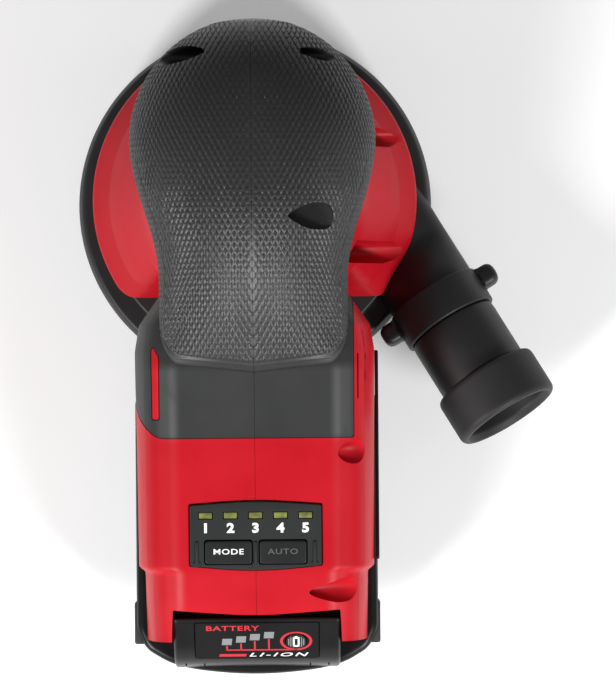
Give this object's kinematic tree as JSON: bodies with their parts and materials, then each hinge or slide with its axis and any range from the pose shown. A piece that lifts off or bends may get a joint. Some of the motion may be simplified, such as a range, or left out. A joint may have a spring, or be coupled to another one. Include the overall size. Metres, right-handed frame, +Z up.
{
  "type": "cordless random orbit sander",
  "caption": "Cordless palm-grip orbital sander: round pad under a shroud, domed rubber grip, rear control panel, slide-on battery and a swept dust port with a hose adapter.",
  "frame": {"origin": "centre of the pad's working face, on the motor axis", "axes": "+Z up along the motor axis, +Y towards the nose of the palm grip, so the battery is at -Y and the dust port on the +X side"},
  "size_m": [0.1686, 0.229, 0.1245],
  "materials": {
    "red_plastic": "satin moulded red",
    "grip_rubber": "fine diamond texture",
    "band_rubber": "smooth matt overmould",
    "black_plastic": "fine moulded grain",
    "dark_plastic": "dark grey, satin",
    "steel": "ground",
    "black_steel": "black oxide",
    "aluminium": "die cast",
    "copper": "enamelled wire",
    "foam": "closed cell foam",
    "hook": "hook and loop",
    "lens": "diffusing lens",
    "board": "solder mask",
    "cell": "cell sleeve",
    "wire": "wire insulation"
  },
  "bodies": {
    "housing": {"left_housing": "red_plastic", "right_housing": "red_plastic", "left_grip": "grip_rubber", "right_grip": "grip_rubber", "left_band": "band_rubber", "right_band": "band_rubber", "side_badge": "black_plastic", "shroud": "black_plastic", "brake_seal": "grip_rubber", "bearing_plate": "aluminium", "lower_bearing": "steel", "upper_bearing": "steel", "stator": "black_steel", "windings": "copper", "controller_tray": "aluminium", "controller_board": "board", "terminal_block": "dark_plastic", "control_panel": "dark_plastic", "light_pipe": "lens", "control_board": "board", "button_ribbon": "wire", "power_switch": "dark_plastic", "housing_screw_1": "black_steel", "housing_screw_2": "black_steel", "housing_screw_3": "black_steel", "housing_screw_4": "black_steel", "housing_screw_5": "black_steel", "shroud_screw_1": "black_steel", "shroud_screw_2": "black_steel", "shroud_screw_3": "black_steel", "motor_lead_1": "wire", "motor_lead_2": "wire", "motor_lead_3": "wire", "battery_lead_1": "wire", "battery_lead_2": "wire"},
    "spindle": {"motor_shaft": "steel", "rotor": "black_steel", "dust_fan": "dark_plastic", "counterweight": "steel"},
    "pad": {"pad_bearing": "steel", "pad_hub": "aluminium", "pad_plate": "black_plastic", "pad_foam": "foam", "hook_face": "hook", "pad_screw_1": "steel", "pad_screw_2": "steel", "pad_screw_3": "steel"},
    "mode_button": {"mode_button": "black_plastic"},
    "auto_button": {"auto_button": "black_plastic"},
    "power_button": {"power_button": "dark_plastic"},
    "lock_ring": {"lock_ring": "black_plastic"},
    "adapter": {"hose_adapter": "black_plastic", "adapter_cuff": "grip_rubber"},
    "battery": {"battery_top": "black_plastic", "battery_bottom": "black_plastic", "gauge_panel": "dark_plastic", "cell_pack": "cell"},
    "gauge_button": {"gauge_button": "grip_rubber"},
    "latch_left": {"latch_left": "grip_rubber"},
    "latch_right": {"latch_right": "grip_rubber"}
  },
  "joints": [
    {"name": "spindle_spin", "type": "hinge", "parent": "housing", "child": "spindle", "pos_m": [0, 0, 0.05], "axis": [0, 0, 1], "continuous": true},
    {"name": "pad_spin", "type": "hinge", "parent": "spindle", "child": "pad", "pos_m": [0.0012, 0, 0.018], "axis": [0, 0, 1], "continuous": true},
    {"name": "mode_press", "type": "slide", "parent": "housing", "child": "mode_button", "axis": [0, 0.1293, -0.9916], "range_m": [0, 0.0008], "stiffness_N_per_m": 600},
    {"name": "auto_press", "type": "slide", "parent": "housing", "child": "auto_button", "axis": [0, 0.1293, -0.9916], "range_m": [0, 0.0008], "stiffness_N_per_m": 600},
    {"name": "power_press", "type": "slide", "parent": "housing", "child": "power_button", "axis": [0, -1, 0], "range_m": [0, 0.002], "stiffness_N_per_m": 500},
    {"name": "battery_slide", "type": "slide", "parent": "housing", "child": "battery", "axis": [0, -1, 0], "range_m": [0, 0.12]},
    {"name": "latch_left_press", "type": "slide", "parent": "battery", "child": "latch_left", "axis": [1, 0, 0], "range_m": [0, 0.003], "stiffness_N_per_m": 500},
    {"name": "latch_right_press", "type": "slide", "parent": "battery", "child": "latch_right", "axis": [-1, 0, 0], "range_m": [0, 0.003], "stiffness_N_per_m": 500},
    {"name": "gauge_press", "type": "slide", "parent": "battery", "child": "gauge_button", "axis": [0, 0.635, -0.7725], "range_m": [0, 0.0006], "stiffness_N_per_m": 500},
    {"name": "ring_twist", "type": "hinge", "parent": "housing", "child": "lock_ring", "pos_m": [0.06279, -0.03204, 0.0314], "axis": [-0.507, 0.8339, -0.2181], "range_deg": [0, 20]},
    {"name": "adapter_pull", "type": "slide", "parent": "housing", "child": "adapter", "axis": [0.507, -0.8339, 0.2181], "range_m": [0, 0.035]}
  ]
}
